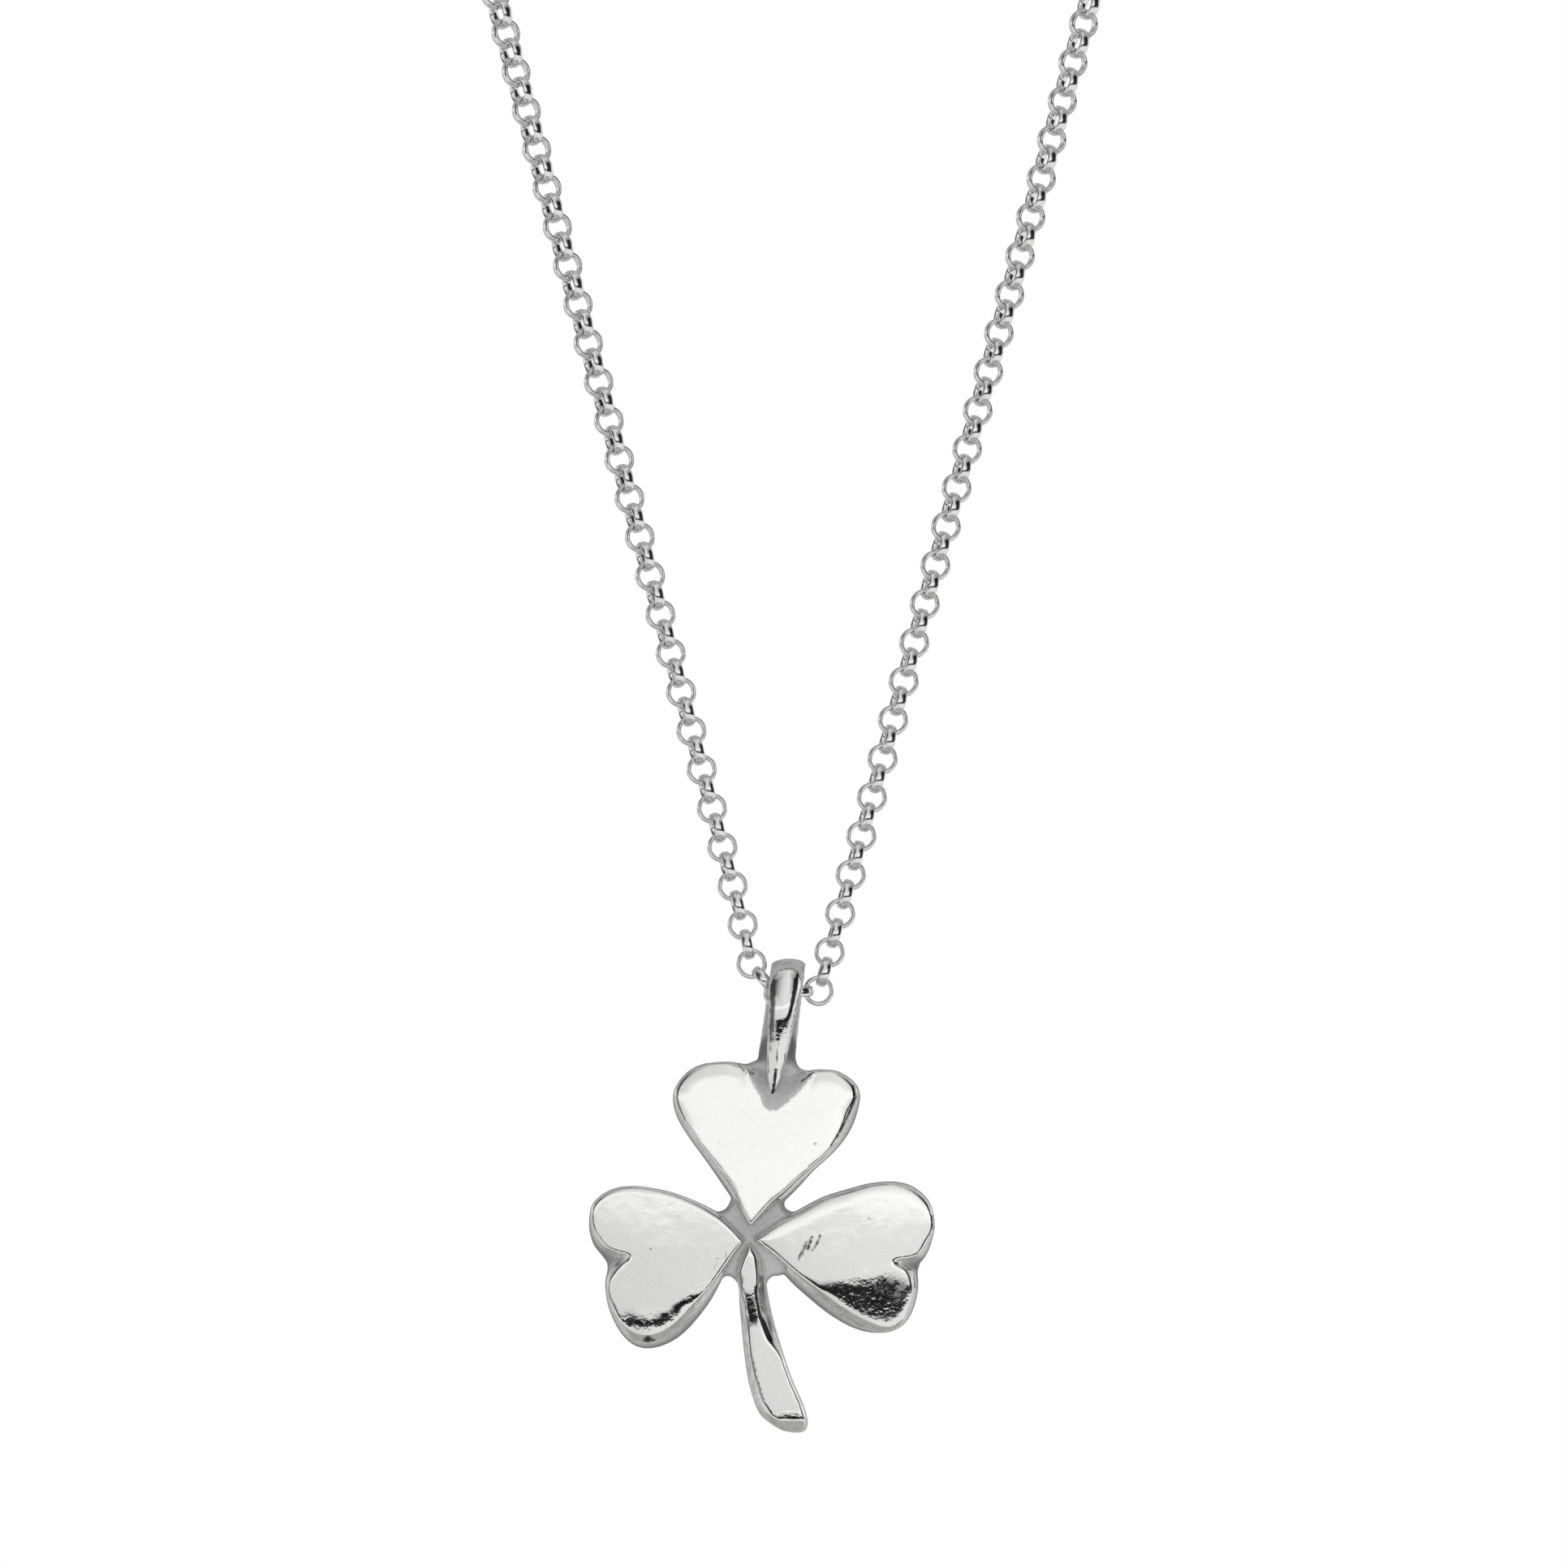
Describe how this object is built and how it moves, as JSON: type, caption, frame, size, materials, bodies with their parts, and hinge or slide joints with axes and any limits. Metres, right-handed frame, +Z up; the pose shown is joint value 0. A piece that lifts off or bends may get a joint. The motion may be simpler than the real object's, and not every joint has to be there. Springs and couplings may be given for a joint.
{
  "type": "shamrock pendant necklace",
  "caption": "Cast silver shamrock with heart-shaped leaves and a curved stem, hung by its long cast bail on a belcher chain that closes at the nape with a bolt ring.",
  "frame": {"origin": "middle of the clasp, where the necklace sits on the nape of the neck", "axes": "+X to the right as seen from the front, +Y from the pendant back to the nape, +Z up"},
  "size_m": [0.1018, 0.1031, 0.1603],
  "materials": {
    "cast_silver": "polished cast silver with fine casting grain and small pits",
    "chain_silver": "bright polished silver"
  },
  "bodies": {
    "necklace": {"chain_left": "chain_silver", "chain_right": "chain_silver", "chain_nape": "chain_silver", "clasp": "chain_silver"},
    "pendant": {"pendant": "cast_silver"}
  },
  "joints": [
    {"name": "pendant_swing", "type": "hinge", "parent": "necklace", "child": "pendant", "pos_m": [0, -0.1, -0.13], "axis": [1, 0, 0], "range_deg": [-75, 75]}
  ]
}
